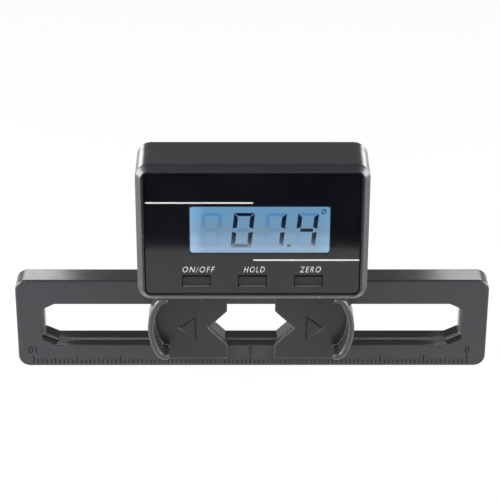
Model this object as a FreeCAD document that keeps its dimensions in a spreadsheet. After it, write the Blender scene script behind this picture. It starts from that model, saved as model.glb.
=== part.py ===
"""Digital pitch gauge: a slotted bar with two sprung V jaws and a display unit on top.

Millimetres. X runs right, Y runs from the viewer to the back, Z runs up.
The origin lies under the middle of the gauge, on the level of the bar's bottom edge.
"""
import FreeCAD, Part
import Sketcher
import math
import os
import re

DOC = FreeCAD.newDocument("pitch_gauge")
SPRING_SIDES = 12
CLOSE = 1e-5

# Driving dimensions, each a cell of the sheet
SIZES = {
    # bar
    "bar_length": 107.6,
    "bar_height": 22.5,
    "bar_depth": 5.8,
    "bar_corner": 2.6,
    "bar_edge": 0.25,
    "rear_edge": 0.5,
    "web_depth": 2.2,
    # slot of the bar
    "slot_end": 5.7,
    "slot_bottom": 5.6,
    "slot_height": 10.8,
    "slot_cut_along": 3.07,
    "slot_cut_up": 1.48,
    "slot_ledge": 0.45,
    # channel of the jaw slides, behind the bar's top strip
    "channel_height": 4.9,
    "plate_depth": 1.2,
    "plate_margin": 1.9,
    "plate_rim": 0.6,
    "rib_half": 5.1,
    "rib_height": 3.1,
    "spring_rise": 4.0,
    "anchor_half": 1.5,
    "anchor_radius": 0.45,
    # display housing
    "housing_width": 51.2,
    "housing_top": 54.55,
    "housing_lap": 1.4,
    "housing_stand": 7.0,
    "housing_corner": 3.3,
    "housing_bevel": 1.2,
    "housing_wall": 1.5,
    "seam_depth": 3.2,
    "front_web": 1.0,
    # face panel and window
    "panel_beside": 1.65,
    "panel_below": 1.63,
    "panel_above": 1.6,
    "panel_corner": 1.1,
    "panel_depth": 1.0,
    "panel_sink": 0.25,
    "window_beside": 11.75,
    "window_rest": 8.55,
    "window_below": 12.0,
    "window_above": 9.85,
    # keys
    "key_width": 6.2,
    "key_height": 2.8,
    "key_spacing": 12.45,
    "key_rise": 5.05,
    "key_sink": 0.4,
    "key_travel": 0.35,
    "key_flange": 0.6,
    "key_gap": 0.07,
    "key_edge": 0.12,
    "key_stem": 1.2,
    "switch_width": 4.0,
    "switch_height": 3.0,
    "switch_push": 0.2,
    # display stack
    "glass_margin": 2.0,
    "glass_depth": 1.8,
    "carrier_wall": 1.2,
    "board_front": -0.4,
    "board_depth": 1.0,
    "board_margin": 1.5,
    "strip_width": 1.0,
    # chips on the back of the board
    "chip_size": 5.4,
    "chip_depth": 0.5,
    "sensor_size": 4.0,
    "chip_inset": 4.9,
    "chip_drop": 2.0,
    # battery compartment and door
    "door_margin": 4.0,
    "door_height": 25.8,
    "door_depth": 1.1,
    "grip_half": 5.0,
    "grip_rise": 3.0,
    "grip_step": 2.0,
    "grip_depth": 0.3,
    "tongue_reach": 0.6,
    "tongue_depth": 0.5,
    "tray_depth": 0.6,
    "cell_diameter": 20.0,
    "cell_depth": 3.2,
    "cell_cap_rim": 1.2,
    "contact_depth": 0.2,
    "contact_half": 2.0,
    "pad_half_wide": 3.5,
    "pad_half_high": 3.8,
    "leg_half": 1.0,
    "contact_margin": 0.3,
    # housing screws
    "boss_inset": 3.7,
    "boss_rise": 3.2,
    "boss_drop": 3.1,
    "boss_half": 1.8,
    "screw_radius": 0.7,
    "screw_head": 1.4,
    "screw_head_depth": 0.8,
    # thumb plates
    "jaw_gap": 10.4,
    "left_rest": 0.5,
    "thumb_bottom": 2.55,
    "thumb_top": 20.75,
    "thumb_stand": 0.8,
    "thumb_edge": 1.1,
    "notch_bottom": 6.05,
    "notch_height": 8.9,
    "crescent_outer": 23.1,
    "crescent_depth": 4.0,
    "crescent_half": 8.0,
    "crescent_rise": 1.1,
    "crescent_wall": 1.4,
    "crescent_stand": 4.7,
    "crescent_proud": 0.4,
    "crescent_end": 2.6,
    "crescent_edge": 0.3,
    "arrow_groove": 0.25,
    "arrow_line": 0.35,
    "arrow_tip": 11.4,
    "arrow_tail": 7.1,
    "arrow_half": 3.2,
    # jaw blocks
    "end_wall": 1.1,
    "block_setback": 0.5,
    "block_outer": 19.4,
    "block_front_gap": 0.5,
    "block_rear_gap": 0.7,
    "foot_outer": 22.5,
    "foot_height": 3.0,
    "tab_length": 1.5,
    "jaw_screw_reach": 14.9,
    "jaw_key_long": 3.4,
    "jaw_key_half": 1.7,
    "jaw_key_deep": 0.6,
    "spring_radius": 0.75,
    "spring_wire": 0.3,
    # clearances
    "run_gap": 0.05,
    "slide_gap": 0.12,
    "fit_gap": 0.03,
}

SHEET = DOC.addObject("Spreadsheet::Sheet", "Sizes")
for row, (alias, number) in enumerate(SIZES.items(), start=1):
    SHEET.set("A%d" % row, alias)
    SHEET.set("B%d" % row, str(number))
    SHEET.setAlias("B%d" % row, alias)
DOC.recompute()

# Places worked out from the driving dimensions
PLACES = {
    "housing_front": "-(housing_stand + bar_depth) / 2",
    "bar_front": "housing_front + housing_stand",
    "bar_back": "bar_front + bar_depth",
    "web_back": "bar_front + web_depth",
    "plate_front": "bar_back - plate_depth",
    "slot_length": "bar_length - 2 * slot_end",
    "jaw_travel": "slot_length / 2 - foot_outer - end_wall",
    "slot_top": "slot_bottom + slot_height",
    "slide_floor": "slot_bottom + slot_ledge",
    "slide_roof": "slot_top - slot_ledge",
    "channel_top": "slot_top + channel_height",
    "channel_end": "foot_outer + jaw_travel + slide_gap",
    "plate_end": "bar_length / 2 - plate_margin",
    "plate_top": "channel_top + plate_rim",
    "spring_level": "slot_top + spring_rise",
    "seam": "bar_back - seam_depth",
    "wall_in": "housing_width / 2 - housing_wall",
    "housing_bottom": "bar_height - housing_lap",
    "room_bottom": "bar_height + housing_wall",
    "room_top": "housing_top - housing_wall",
    "back_wall": "bar_back - housing_wall",
    "panel_front": "housing_front + panel_sink",
    "panel_back": "panel_front + panel_depth",
    "web_rear": "panel_back + front_web",
    "panel_half": "housing_width / 2 - panel_beside",
    "panel_bottom": "housing_bottom + panel_below",
    "panel_top": "housing_top - panel_above",
    "window_left": "window_beside - housing_width / 2",
    "window_right": "housing_width / 2 - window_rest",
    "window_bottom": "housing_bottom + window_below",
    "window_top": "housing_top - window_above",
    "key_level": "housing_bottom + key_rise",
    "board_back": "board_front + board_depth",
    "glass_front": "panel_back + fit_gap",
    "glass_back": "glass_front + glass_depth",
    "boss_reach": "wall_in - boss_inset",
    "boss_low": "room_bottom + boss_rise",
    "boss_high": "room_top - boss_drop",
    "chip_reach": "wall_in - chip_inset",
    "key_front": "panel_front + key_sink",
    "door_front": "bar_back - door_depth",
    "door_half": "cell_radius + door_margin",
    "door_bottom": "housing_top - door_height",
    "cell_level": "(door_bottom + room_top) / 2",
    "chip_level": "cell_level - chip_drop",
    "tongue_half": "door_half + tongue_reach",
    "cell_back": "door_front - run_gap",
    "cell_front": "cell_back - cell_depth",
    "tray_back": "cell_front - contact_depth",
    "tray_front": "tray_back - tray_depth",
    "cell_radius": "cell_diameter / 2",
    "head_seat": "bar_back - screw_head_depth - run_gap",
    "thumb_front": "bar_front - thumb_stand",
    "thumb_back": "bar_front - run_gap",
    "thumb_edge_back": "thumb_front + thumb_edge",
    "jaw_inner": "jaw_gap / 2",
    "notch_top": "notch_bottom + notch_height",
    "notch_level": "notch_bottom + notch_height / 2",
    "notch_apex": "jaw_inner + notch_height / 2",
    "thumb_level": "(thumb_bottom + thumb_top) / 2",
    "crescent_level": "thumb_level + crescent_rise",
    "crescent_root": "crescent_outer - crescent_depth",
    "block_front": "thumb_edge_back + block_front_gap",
    "block_back": "bar_back - block_rear_gap",
    "block_inner": "jaw_inner + block_setback",
    "foot_top": "slot_top + foot_height",
    "jaw_key_end": "web_back + jaw_key_deep",
}
WORD = re.compile(r"[a-z][a-z_]*")


def bound(formula):
    """Write a formula of place and size names as an expression on the sheet's cells."""
    def spell(match):
        name = match.group(0)
        return "(" + bound(PLACES[name]) + ")" if name in PLACES else "Sizes." + name
    return WORD.sub(spell, str(formula))


def value(formula):
    """Work a formula out from the sheet, in millimetres."""
    return float(SHEET.evalExpression(bound(formula)))


def mirror(formula, side):
    """Put a jaw's formula of X on the right (side 1) or on the left (side -1).

    The left jaw's stop lies a little further out.
    """
    return formula if side > 0 else "-(" + formula + " + left_rest)"


# Sketch and feature helpers

def new_body(label):
    body = DOC.addObject("PartDesign::Body", label + "_body")
    body.Label = label
    return body


def front_plane(body):
    return next(plane for plane in body.Origin.OriginFeatures if plane.Role == "XZ_Plane")


def new_sketch(body, depth):
    """Start a sketch in the XZ plane, at a depth along Y. Its X is X and its Y is Z."""
    sketch = body.newObject("Sketcher::SketchObject", body.Name + "_sketch")
    sketch.AttachmentSupport = [(front_plane(body), "")]
    sketch.MapMode = "FlatFace"
    sketch.setExpression(".AttachmentOffset.Base.z", "-(" + bound(depth) + ")")
    return sketch


def pin_point(sketch, line, end, across, up):
    """Hold one point of a sketch at its distances from the sketch's origin."""
    for kind, formula in (("DistanceX", across), ("DistanceY", up)):
        constraint = Sketcher.Constraint(kind, -1, 1, line, end, value(formula))
        index = sketch.addConstraint(constraint)
        sketch.setExpression("Constraints[%d]" % index, bound(formula))


def draw_outline(sketch, points):
    """Draw a closed outline through points given as pairs of formulas."""
    places = [FreeCAD.Vector(value(across), value(up), 0) for across, up in points]
    first = sketch.GeometryCount
    count = len(points)
    for number in range(count):
        start, stop = places[number], places[(number + 1) % count]
        sketch.addGeometry(Part.LineSegment(start, stop), False)
    for number in range(count):
        following = first + (number + 1) % count
        sketch.addConstraint(Sketcher.Constraint("Coincident", first + number, 2, following, 1))
    for number, (across, up) in enumerate(points):
        pin_point(sketch, first + number, 1, across, up)


def draw_box(sketch, left, right, low, high):
    draw_outline(sketch, [(left, low), (right, low), (right, high), (left, high)])


def draw_circle(sketch, across, up, radius):
    centre = FreeCAD.Vector(value(across), value(up), 0)
    circle = Part.Circle(centre, FreeCAD.Vector(0, 0, 1), value(radius))
    index = sketch.addGeometry(circle, False)
    size = sketch.addConstraint(Sketcher.Constraint("Radius", index, value(radius)))
    sketch.setExpression("Constraints[%d]" % size, bound(radius))
    pin_point(sketch, index, 3, across, up)


def extrude(body, draw, front, back):
    """Add material between two depths; draw(sketch) makes the outline."""
    sketch = new_sketch(body, back)
    draw(sketch)
    pad = body.newObject("PartDesign::Pad", body.Name + "_pad")
    pad.Profile = sketch
    pad.setExpression("Length", bound("(" + back + ") - (" + front + ")"))
    DOC.recompute()
    return pad


def cut(body, draw, front, back):
    """Take material away between two depths; draw(sketch) makes the outline."""
    before = body.Shape.Volume
    sketch = new_sketch(body, front)
    draw(sketch)
    pocket = body.newObject("PartDesign::Pocket", body.Name + "_pocket")
    pocket.Profile = sketch
    pocket.setExpression("Length", bound("(" + back + ") - (" + front + ")"))
    DOC.recompute()
    if body.Shape.Volume > before - CLOSE:
        raise RuntimeError(pocket.Name + " cuts nothing")
    return pocket


def edge_names(shape, wanted):
    return ["Edge%d" % number for number, edge in enumerate(shape.Edges, start=1) if wanted(edge)]


def runs_back(edge):
    """True for a straight edge along Y."""
    return len(edge.Vertexes) == 2 and edge.BoundBox.XLength + edge.BoundBox.ZLength < CLOSE


def lies_at(edge, depth):
    """True for an edge in the plane of one depth."""
    return abs(edge.BoundBox.YMin - value(depth)) + abs(edge.BoundBox.YMax - value(depth)) < CLOSE


def soften(body, kind, wanted, size):
    """Fillet or chamfer the wanted edges of the body's tip."""
    base = body.Tip
    names = edge_names(base.Shape, wanted)
    if not names:
        raise RuntimeError(body.Label + " has no such edge")
    feature = body.newObject("PartDesign::" + kind, body.Name + "_" + kind.lower())
    feature.Base = (base, names)
    feature.setExpression("Radius" if kind == "Fillet" else "Size", bound(size))
    DOC.recompute()
    return feature


# Solids made of primitives

UPRIGHT = FreeCAD.Rotation(FreeCAD.Vector(1, 0, 0), -90)


def block(label, left, right, front, back, low, high):
    """A box between six formulas."""
    box = DOC.addObject("Part::Box", label)
    box.Label = label
    for side, start, stop in (("x", left, right), ("y", front, back), ("z", low, high)):
        length = {"x": "Length", "y": "Width", "z": "Height"}[side]
        box.setExpression(length, bound("(%s) - (%s)" % (stop, start)))
        box.setExpression(".Placement.Base." + side, bound(start))
    return box


def rod(label, across, up, front, back, radius):
    """A round rod along Y."""
    cylinder = DOC.addObject("Part::Cylinder", label)
    cylinder.Label = label
    cylinder.Placement = FreeCAD.Placement(FreeCAD.Vector(), UPRIGHT)
    cylinder.setExpression("Radius", bound(radius))
    cylinder.setExpression("Height", bound("(%s) - (%s)" % (back, front)))
    cylinder.setExpression(".Placement.Base.x", bound(across))
    cylinder.setExpression(".Placement.Base.y", bound(front))
    cylinder.setExpression(".Placement.Base.z", bound(up))
    return cylinder


def combine(kind, label, solids):
    """Fuse, intersect or group several solids."""
    feature = DOC.addObject("Part::" + kind, label)
    feature.Label = label
    if kind == "Compound":
        feature.Links = solids
    else:
        feature.Shapes = solids
    return feature


def subtract(label, base, tool):
    feature = DOC.addObject("Part::Cut", label)
    feature.Label = label
    feature.Base = base
    feature.Tool = tool
    return feature


def slot_outline(inset):
    """The slot's octagon, drawn in by an inset on every side."""
    side = "(slot_length / 2 - %s)" % inset
    low = "(slot_bottom + %s)" % inset
    high = "(slot_top - %s)" % inset
    near = "(%s - slot_cut_along)" % side
    return [
        ("-" + near, low), (near, low),
        (side, low + " + slot_cut_up"), (side, high + " - slot_cut_up"),
        (near, high), ("-" + near, high),
        ("-" + side, high + " - slot_cut_up"), ("-" + side, low + " + slot_cut_up"),
    ]


def housing_bosses():
    return [(reach, level) for reach in ("-boss_reach", "boss_reach") for level in ("boss_low", "boss_high")]


def plate_screws():
    outer = "((channel_end + plate_end) / 2)"
    low = "(slide_roof + rib_height / 2)"
    high = "((slide_roof + plate_top) / 2)"
    return [("-" + outer, high), ("0", low), (outer, high)]


def jaw_screws(side):
    return [(mirror("jaw_screw_reach", side), "slot_bottom + slot_height / 2")]


def draw_boxes(points, half_wide, half_high):
    def draw(sketch):
        for across, up in points:
            draw_box(sketch, "%s - (%s)" % (across, half_wide), "%s + (%s)" % (across, half_wide),
                     "%s - (%s)" % (up, half_high), "%s + (%s)" % (up, half_high))
    return draw


def draw_circles(points, radius):
    def draw(sketch):
        for across, up in points:
            draw_circle(sketch, across, up, radius)
    return draw


# Sub-parts

def make_frame():
    """The bar with its slot and slide channel, in one moulding with the housing's back."""
    body = new_body("frame")
    half = "bar_length / 2"
    extrude(body, lambda s: draw_box(s, "-" + half, half, "0", "bar_height"), "bar_front", "bar_back")
    soften(body, "Fillet", runs_back, "bar_corner")
    soften(body, "Chamfer", lambda edge: lies_at(edge, "bar_front"), "bar_edge")
    width = "housing_width / 2"
    extrude(body, lambda s: draw_box(s, "-" + width, width, "bar_height / 2", "housing_top"),
            "seam", "bar_back")
    top = value("housing_top")
    soften(body, "Fillet", lambda edge: runs_back(edge) and abs(edge.BoundBox.ZMin - top) < CLOSE,
           "housing_corner")
    soften(body, "Chamfer", lambda edge: lies_at(edge, "bar_back") and edge.BoundBox.ZMax > CLOSE,
           "rear_edge")

    cut(body, lambda s: draw_outline(s, slot_outline("slot_ledge")), "bar_front", "bar_back")
    cut(body, lambda s: draw_outline(s, slot_outline("0")), "bar_front", "web_back")
    inner_top = value("slide_roof")
    soften(
        body, "Chamfer",
        lambda edge: lies_at(edge, "web_back") and edge.BoundBox.ZMax < inner_top + CLOSE
        and edge.BoundBox.ZMin > value("slide_floor") - CLOSE
        and abs(edge.CenterOfMass.x) < value("slot_length / 2 - slot_ledge") + CLOSE,
        "slot_ledge - run_gap / 2",
    )
    cut(body, lambda s: draw_outline(s, [
        ("-channel_end", "slide_roof"), ("-rib_half", "slide_roof"), ("-rib_half", "slot_top + rib_height"),
        ("rib_half", "slot_top + rib_height"), ("rib_half", "slide_roof"), ("channel_end", "slide_roof"),
        ("channel_end", "channel_top"), ("-channel_end", "channel_top"),
    ]), "web_back", "bar_back")
    cut(body, lambda s: draw_box(s, "-plate_end", "plate_end", "slide_roof", "plate_top"),
        "plate_front", "bar_back")
    cut(body, draw_circles(plate_screws(), "screw_radius + fit_gap"),
        "bar_front + housing_wall", "plate_front")
    pegs = [("-anchor_half", "spring_level"), ("anchor_half", "spring_level")]
    extrude(body, draw_circles(pegs, "anchor_radius"), "web_back", "plate_front - run_gap")

    cut(body, lambda s: draw_box(s, "-wall_in", "wall_in", "room_bottom", "room_top"), "seam", "back_wall")
    tray = "tongue_half + 2 * tongue_reach"
    extrude(
        body, lambda s: draw_box(s, "-(%s)" % tray, tray, "door_bottom - door_depth", "room_top"),
        "tray_front", "back_wall",
    )
    cut(body, draw_circles([("0", "cell_level")], "cell_radius + slide_gap"), "tray_back", "bar_back")
    side_gap = "contact_half + contact_margin"
    cut(body, lambda s: draw_box(
        s, "-(cell_radius + leg_half)", "-(cell_radius - leg_half)", "cell_level - (%s)" % side_gap,
        "cell_level + %s" % side_gap
    ), "tray_front", "door_front")
    leg_gap = "leg_half + contact_margin"
    cut(body, lambda s: draw_box(
        s, "-(%s)" % leg_gap, leg_gap, "cell_level - pad_half_high - contact_margin",
        "cell_level - pad_half_high + contact_depth + contact_margin"
    ), "tray_front", "tray_back")
    above = "housing_top + 1"
    cut(body, lambda s: draw_box(s, "-door_half", "door_half", "door_bottom", above),
        "door_front", "bar_back")
    cut(body, lambda s: draw_box(s, "-tongue_half", "tongue_half", "door_bottom", above),
        "door_front", "door_front + tongue_depth")
    cut(body, draw_circles(housing_bosses(), "screw_radius + slide_gap"), "back_wall", "bar_back")
    cut(body, draw_circles(housing_bosses(), "screw_head + slide_gap"), "head_seat", "bar_back")
    return body


def make_back_plate():
    """The cover of the slide channel, let into the back of the bar."""
    body = new_body("bar_back_plate")
    extrude(body, lambda s: draw_box(
        s, "-(plate_end - fit_gap)", "plate_end - fit_gap", "slide_roof", "plate_top - fit_gap"
    ), "plate_front", "bar_back")
    cut(body, draw_circles(plate_screws(), "screw_radius + slide_gap"), "plate_front", "bar_back")
    cut(body, draw_circles(plate_screws(), "screw_head + slide_gap"), "head_seat", "bar_back")
    return body


def make_front_shell():
    """The front half of the display housing, a bevelled tub that hooks over the bar."""
    body = new_body("front_shell")
    width = "housing_width / 2"
    extrude(body, lambda s: draw_box(s, "-" + width, width, "housing_bottom", "housing_top"),
            "housing_front", "seam")
    soften(body, "Fillet", runs_back, "housing_corner")
    cut(body, lambda s: draw_box(s, "-(panel_half)", "panel_half", "panel_bottom", "panel_top"),
        "housing_front", "panel_back")
    reach = value("panel_half")
    soften(body, "Fillet", lambda edge: runs_back(edge) and abs(abs(edge.CenterOfMass.x) - reach) < CLOSE
           and edge.BoundBox.YMax < value("panel_back") + CLOSE, "panel_corner")
    low, high = value("panel_bottom"), value("panel_top")
    soften(body, "Chamfer", lambda edge: lies_at(edge, "housing_front") and (
        abs(edge.CenterOfMass.x) > reach + CLOSE or not low - CLOSE < edge.CenterOfMass.z < high + CLOSE
    ), "housing_bevel")
    cut(body, lambda s: draw_box(s, "-wall_in", "wall_in", "housing_bottom + housing_wall", "room_top"),
        "web_rear", "seam")
    cut(body, lambda s: draw_box(s, "-(%s + 1)" % width, width + " + 1", "housing_bottom - 1",
        "bar_height + run_gap"), "bar_front - run_gap", "seam")
    margin = "(glass_margin + fit_gap)"
    cut(body, lambda s: draw_box(s, "window_left - " + margin, "window_right + " + margin,
        "window_bottom - " + margin, "window_top + " + margin), "panel_back", "web_rear")
    cut(body, draw_keys("key_gap"), "panel_back", "web_rear")
    extrude(body, draw_boxes(housing_bosses(), "boss_half", "boss_half"), "web_rear - front_web / 2",
            "back_wall - run_gap")
    cut(body, draw_circles(housing_bosses(), "screw_radius + fit_gap"), "web_rear + front_web", "back_wall")
    return body


def draw_keys(margin):
    """Outlines of the three keys, drawn out by a margin."""
    def draw(sketch):
        for place in ("-key_spacing", "0", "key_spacing"):
            half_wide = "(key_width / 2 + %s)" % margin
            half_high = "(key_height / 2 + %s)" % margin
            draw_box(sketch, "%s - %s" % (place, half_wide), "%s + %s" % (place, half_wide),
                     "key_level - " + half_high, "key_level + " + half_high)
    return draw


def make_face_panel():
    """The glossy plate in the face, with a window and three key openings."""
    body = new_body("face_panel")
    half = "panel_half - fit_gap"
    extrude(body, lambda s: draw_box(
        s, "-(%s)" % half, half, "panel_bottom + fit_gap", "panel_top - fit_gap"
    ), "panel_front", "panel_back")
    soften(body, "Fillet", runs_back, "panel_corner")
    cut(body, lambda s: draw_box(s, "window_left", "window_right", "window_bottom", "window_top"),
        "panel_front", "panel_back")
    cut(body, draw_keys("key_gap"), "panel_front", "panel_back")
    return body


def make_battery_door():
    """The door over the cell, with a tongue along each side; it slides up and off."""
    body = new_body("battery_door")
    front = "door_front + run_gap"
    half = "door_half - run_gap"
    extrude(body, lambda s: draw_box(s, "-(%s)" % half, half, "door_bottom + run_gap", "housing_top"),
            front, "bar_back")
    tongue = "tongue_half - run_gap"
    extrude(body, lambda s: draw_box(s, "-(%s)" % tongue, tongue, "door_bottom + run_gap", "room_top"),
            front, "door_front + tongue_depth - run_gap")
    top = value("housing_top")
    soften(body, "Chamfer", lambda edge: lies_at(edge, "bar_back") and edge.BoundBox.ZMin > top - CLOSE,
           "rear_edge")
    for step in range(4):
        low = "door_bottom + grip_rise + %d * grip_step" % step
        cut(body, lambda s: draw_box(s, "-grip_half", "grip_half", low, low + " + grip_step / 2"),
            "bar_back - grip_depth", "bar_back")
    return body


def make_key(label, place):
    """A key cap with a flange behind the front web and a stem above its switch."""
    body = new_body(label)
    half_wide = "key_width / 2"
    half_high = "key_height / 2"
    flange_front = "web_rear + run_gap"
    flange_back = "web_rear + run_gap + key_flange"
    extrude(body, lambda s: draw_box(
        s, "%s - %s" % (place, half_wide), "%s + %s" % (place, half_wide),
        "key_level - " + half_high, "key_level + " + half_high
    ), "key_front", flange_back)
    extrude(body, lambda s: draw_box(
        s, "%s - %s - key_flange" % (place, half_wide), "%s + %s + key_flange" % (place, half_wide),
        "key_level - %s - key_flange" % half_high, "key_level + %s + key_flange" % half_high
    ), flange_front, flange_back)
    extrude(body, draw_boxes([(place, "key_level")], "key_stem", "key_stem"), "key_front + key_flange",
            "board_front - front_web - key_travel - run_gap")
    soften(body, "Fillet", lambda edge: lies_at(edge, "key_front"), "key_edge")
    return body


def make_switches():
    """The three push switches on the board, one behind each key."""
    switches = []
    for number, place in enumerate(("-key_spacing", "0", "key_spacing")):
        base = block("switch_base%d" % number, place + " - switch_width / 2", place + " + switch_width / 2",
                     "board_front - front_web + switch_push", "board_front",
                     "key_level - switch_height / 2", "key_level + switch_height / 2")
        plunger = block("switch_plunger%d" % number, place + " - key_stem", place + " + key_stem",
                        "board_front - front_web", "board_front",
                        "key_level - key_stem", "key_level + key_stem")
        switches.append(combine("MultiFuse", "switch%d" % number, [base, plunger]))
    return combine("Compound", "key_switches", switches)


def crescent_arcs(side, inset):
    """The three arcs of a crescent's outer outline, from its top to its bottom, drawn in by an inset."""
    root, level = value(mirror("crescent_root", side)), value("crescent_level")
    half, depth, end = value("crescent_half"), value("crescent_depth"), value("crescent_end")
    rise = half - end
    flank = (depth ** 2 + rise ** 2 - end ** 2) / (2 * (depth - end))
    turn = math.atan2(rise, flank - depth)
    arcs = []
    for out, up, radius, start, stop in (
        (0, rise, end, math.pi / 2, turn),
        (depth - flank, 0, flank, turn, -turn),
        (0, -rise, end, -turn, -math.pi / 2),
    ):
        spots = []
        for angle in (start, (start + stop) / 2, stop):
            across = out + (radius - inset) * math.cos(angle)
            height = up + (radius - inset) * math.sin(angle)
            spots.append(FreeCAD.Vector(root + side * across, 0, level + height))
        arcs.append(Part.Arc(*spots).toShape())
    return arcs


def crescent_wall(side):
    """The outline of a crescent's wall, with round ends."""
    thick = value("crescent_wall")
    root, level = value(mirror("crescent_root", side)), value("crescent_level")
    edges = crescent_arcs(side, 0) + crescent_arcs(side, thick)
    for sign in (-1, 1):
        outer = level + sign * value("crescent_half")
        inner = outer - sign * thick
        edges.append(Part.Arc(
            FreeCAD.Vector(root, 0, outer), FreeCAD.Vector(root - side * thick / 2, 0, (outer + inner) / 2),
            FreeCAD.Vector(root, 0, inner),
        ).toShape())
    return edges


def crescent_foot(side):
    """The outline of the plate's end under the crescent, a little inside it."""
    inset = value("crescent_proud")
    arcs = crescent_arcs(side, inset)
    root, level = value(mirror("crescent_root", side)), value("crescent_level")
    reach = value("crescent_half") - inset
    low, high = FreeCAD.Vector(root, 0, level - reach), FreeCAD.Vector(root, 0, level + reach)
    return arcs + [Part.makeLine(low, high)]


def prism(label, edges, front, back):
    """A closed outline of edges, drawn out between two depths."""
    outline = Part.Wire(Part.sortEdges(edges)[0])
    solid = Part.Face(outline).extrude(FreeCAD.Vector(0, value(back) - value(front), 0))
    solid.translate(FreeCAD.Vector(0, value(front), 0))
    feature = DOC.addObject("Part::Feature", label)
    feature.Shape = solid
    return feature


def make_thumb_plate(label, side):
    """The front of a jaw: a plate with a V notch, an engraved arrow and a crescent for the thumb."""
    body = new_body(label + "_flat")

    def at(points):
        return [(mirror(across, side), up) for across, up in points]

    extrude(body, lambda s: draw_outline(s, at([
        ("jaw_inner", "thumb_bottom"), ("crescent_root", "thumb_bottom"), ("crescent_root", "thumb_top"),
        ("jaw_inner", "thumb_top"), ("jaw_inner", "notch_top"), ("notch_apex", "notch_level"),
        ("jaw_inner", "notch_bottom"),
    ])), "thumb_front", "thumb_back")
    extrude(body, lambda s: draw_outline(s, at([
        ("jaw_inner", "slot_bottom + slide_gap"), ("block_outer", "slot_bottom + slide_gap"),
        ("block_outer", "slot_top - slide_gap"), ("jaw_inner", "slot_top - slide_gap"),
        ("jaw_inner", "notch_top"), ("notch_apex", "notch_level"), ("jaw_inner", "notch_bottom"),
    ])), "thumb_front + thumb_stand / 2", "thumb_edge_back")
    extrude(body, draw_boxes(jaw_screws(side), "jaw_key_long", "jaw_key_half"),
            "thumb_front + thumb_stand / 2", "jaw_key_end")
    cut(body, draw_circles(jaw_screws(side), "screw_radius + fit_gap"), "bar_front", "jaw_key_end")
    cut(body, lambda s: draw_arrow(s, side), "thumb_front", "thumb_front + arrow_groove")

    rim = "thumb_front - crescent_stand"
    wall = prism(label + "_wall", crescent_wall(side), rim, "thumb_back")
    foot = prism(label + "_foot", crescent_foot(side), "thumb_front", "thumb_back")
    whole = combine("MultiFuse", label + "_whole", [body, wall, foot])
    DOC.recompute()
    softened = DOC.addObject("Part::Chamfer", label)
    softened.Label = label
    softened.Base = whole
    names = edge_names(whole.Shape, lambda edge: lies_at(edge, rim))
    size = value("crescent_edge")
    softened.Edges = [(int(name[4:]), size, size) for name in names]
    return softened


def draw_arrow(sketch, side):
    """The outline of a triangle that points outwards, as a closed groove."""
    tip, tail = "jaw_inner + arrow_tip", "jaw_inner + arrow_tail"
    low, high = "notch_level - arrow_half", "notch_level + arrow_half"
    groove = "arrow_line"
    draw_outline(sketch, [
        (mirror(tip, side), "notch_level"), (mirror(tail, side), high), (mirror(tail, side), low),
    ])
    draw_outline(sketch, [
        (mirror(tip + " - 2.2 * " + groove, side), "notch_level"),
        (mirror(tail + " + " + groove, side), high + " - 1.8 * " + groove),
        (mirror(tail + " + " + groove, side), low + " + 1.8 * " + groove),
    ])


def make_jaw_block(label, side):
    """The back of a jaw: the V block that fills the slot, with a foot that runs in the channel."""
    body = new_body(label)

    def at(points):
        return [(mirror(across, side), up) for across, up in points]

    def section(low, high):
        return at([
            ("block_inner", low), ("block_outer", low), ("block_outer", high), ("block_inner", high),
            ("block_inner", "notch_top - block_setback"), ("notch_apex", "notch_level"),
            ("block_inner", "notch_bottom + block_setback"),
        ])

    extrude(body, lambda s: draw_outline(s, section("slot_bottom + slide_gap", "slot_top - slide_gap")),
            "block_front", "web_back")
    extrude(body, lambda s: draw_outline(s, section("slide_floor + slide_gap", "slide_roof - slide_gap")),
            "web_back", "block_back")
    foot_front, foot_back = "web_back + slide_gap", "plate_front - slide_gap"
    extrude(body, lambda s: draw_outline(s, at([
        ("block_inner", "slide_roof - plate_rim"), ("block_outer", "slide_roof - plate_rim"),
        ("block_outer", "slot_top"),
        ("foot_outer", "slot_top"), ("foot_outer", "foot_top"), ("block_inner", "foot_top"),
    ])), foot_front, foot_back)
    tab_back = foot_front + " + plate_rim"
    tab_inner = "foot_outer - tab_length"
    extrude(body, lambda s: draw_outline(s, at([
        (tab_inner, "foot_top - plate_rim"), ("foot_outer", "foot_top - plate_rim"),
        ("foot_outer", "channel_top - slide_gap"), (tab_inner, "channel_top - slide_gap"),
    ])), foot_front, tab_back)
    peg = [(mirror("foot_outer - 1", side), "spring_level")]
    extrude(body, draw_circles(peg, "anchor_radius"), foot_front, foot_back)
    cut(body, draw_boxes(jaw_screws(side), "jaw_key_long + slide_gap", "jaw_key_half + slide_gap"),
        "block_front", "jaw_key_end + run_gap")
    cut(body, draw_circles(jaw_screws(side), "screw_radius + slide_gap"), "jaw_key_end", "block_back")
    cut(body, draw_circles(jaw_screws(side), "screw_head + slide_gap"),
        "block_back - screw_head_depth - run_gap", "block_back")
    return body


def make_screws(label, points, tip, back):
    """Pan screws driven from the back, with their heads let in just below a face."""
    screws = []
    for number, (across, up) in enumerate(points):
        seat = "%s - screw_head_depth - run_gap" % back
        shank = rod("%s_shank%d" % (label, number), across, up, tip, back + " - run_gap", "screw_radius")
        head = rod("%s_head%d" % (label, number), across, up, seat, back + " - run_gap", "screw_head")
        screws.append(combine("MultiFuse", "%s%d" % (label, number), [shank, head]))
    return combine("Compound", label, screws)


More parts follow.
